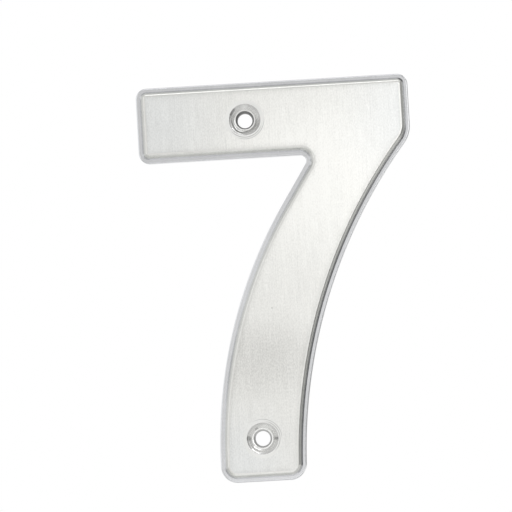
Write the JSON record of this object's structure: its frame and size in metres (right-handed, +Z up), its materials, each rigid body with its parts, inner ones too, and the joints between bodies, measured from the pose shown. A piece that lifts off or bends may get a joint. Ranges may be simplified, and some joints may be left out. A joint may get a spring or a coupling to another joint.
{
  "type": "door number",
  "caption": "Cast metal door number in the form of the digit seven, with a brushed face, a moulded edge and countersunk screw holes for fixing it flat to a door.",
  "frame": {"origin": "on the flat back, halfway between the two screw holes", "axes": "+Z up the digit, +X to the right seen from the front, +Y from the face into the door"},
  "size_m": [0.0694, 0.0048, 0.1016],
  "materials": {
    "brushed_metal": "satin face with fine upright brushing, smoother and brighter moulded edge"
  },
  "bodies": {
    "root": {"number_seven": "brushed_metal"}
  },
  "joints": []
}
